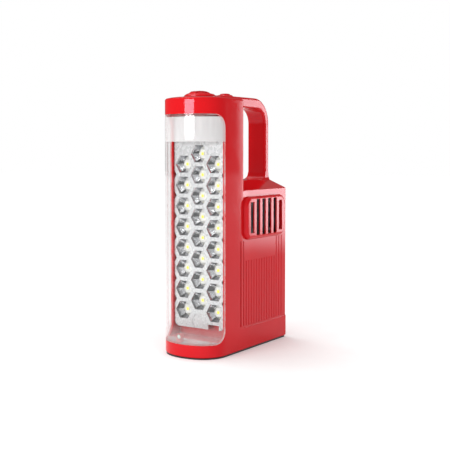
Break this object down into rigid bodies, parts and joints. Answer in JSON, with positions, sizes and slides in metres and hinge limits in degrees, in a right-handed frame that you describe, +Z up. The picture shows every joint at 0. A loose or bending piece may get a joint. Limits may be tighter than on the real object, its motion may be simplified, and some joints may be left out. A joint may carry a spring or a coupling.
{
  "type": "rechargeable emergency lantern",
  "caption": "Upright hand lantern with a clear wrap-around lens over a plated LED reflector, a battery box with a slotted siren grille, a loop handle, a selector knob and a push button.",
  "frame": {"origin": "centre of the flat base, on the surface that it stands on", "axes": "+Z up, the lens faces -Y, the handle and battery box are towards +Y, the siren grille is on +X"},
  "size_m": [0.0765, 0.154, 0.278],
  "materials": {
    "red_plastic": "glossy moulded ABS",
    "black_plastic": "fine texture",
    "clear_plastic": "clear moulded polystyrene",
    "plated_plastic": "vacuum-plated, bright",
    "white_board": "white solder mask",
    "led_package": "white package with yellow phosphor",
    "indicator_lens": "diffused lens",
    "steel": "zinc plated",
    "switch_plastic": "moulded",
    "button_red": "glossy moulded ABS, a little darker",
    "speaker_metal": "pressed and zinc plated",
    "speaker_paper": "pressed paper",
    "magnet": "ferrite and plate",
    "battery_case": "moulded ABS case",
    "brass": "tinned tab",
    "foam": "closed-cell foam",
    "green_board": "green solder mask",
    "capacitor_sleeve": "shrink sleeve",
    "relay_case": "moulded",
    "fuse_glass": "clear glass tube",
    "core_iron": "stacked laminations",
    "coil_tape": "yellow tape over copper",
    "wire_red": "flexible sleeve",
    "wire_black": "flexible sleeve",
    "wire_grey": "flexible sleeve"
  },
  "bodies": {
    "housing": {"front_housing": "red_plastic", "rear_cover": "red_plastic", "base_plate": "black_plastic", "lens_cover": "clear_plastic", "reflector": "plated_plastic", "led_board": "white_board", "led_chips": "led_package", "indicator_holder": "red_plastic", "indicator_led": "indicator_lens", "rotary_switch": "switch_plastic", "switch_nut": "steel", "button_bezel": "red_plastic", "button_spring": "steel", "push_switch": "black_plastic", "speaker_grille": "red_plastic", "speaker_baffle": "black_plastic", "speaker_frame": "speaker_metal", "speaker_cone": "speaker_paper", "speaker_magnet": "magnet", "battery": "battery_case", "battery_terminals": "brass", "battery_foam": "foam", "battery_bracket": "steel", "charger_board": "green_board", "capacitors": "capacitor_sleeve", "relay": "relay_case", "fuse": "fuse_glass", "transformer_core": "core_iron", "transformer_coil": "coil_tape", "mains_inlet": "black_plastic", "inlet_pins": "steel", "battery_lead_red": "wire_red", "battery_lead_black": "wire_black", "speaker_leads": "wire_grey", "led_leads": "wire_grey", "switch_leads": "wire_grey", "button_leads": "wire_grey", "inlet_leads": "wire_grey", "transformer_leads": "wire_grey", "cover_screws": "steel", "base_screws": "steel", "reflector_screws": "steel", "bracket_screws": "steel", "board_screws": "steel", "baffle_screws": "steel"},
    "selector": {"selector_knob": "red_plastic", "switch_shaft": "steel"},
    "button": {"push_button": "button_red"}
  },
  "joints": [
    {"name": "selector_turn", "type": "hinge", "parent": "housing", "child": "selector", "pos_m": [0, -0.0428, 0.2714], "axis": [0, 0, -1], "range_deg": [0, 90]},
    {"name": "button_press", "type": "slide", "parent": "housing", "child": "button", "axis": [0, 0, -1], "range_m": [0, 0.0015], "stiffness_N_per_m": 400, "springref_m": -0.002, "deforming": ["button_spring"]}
  ]
}
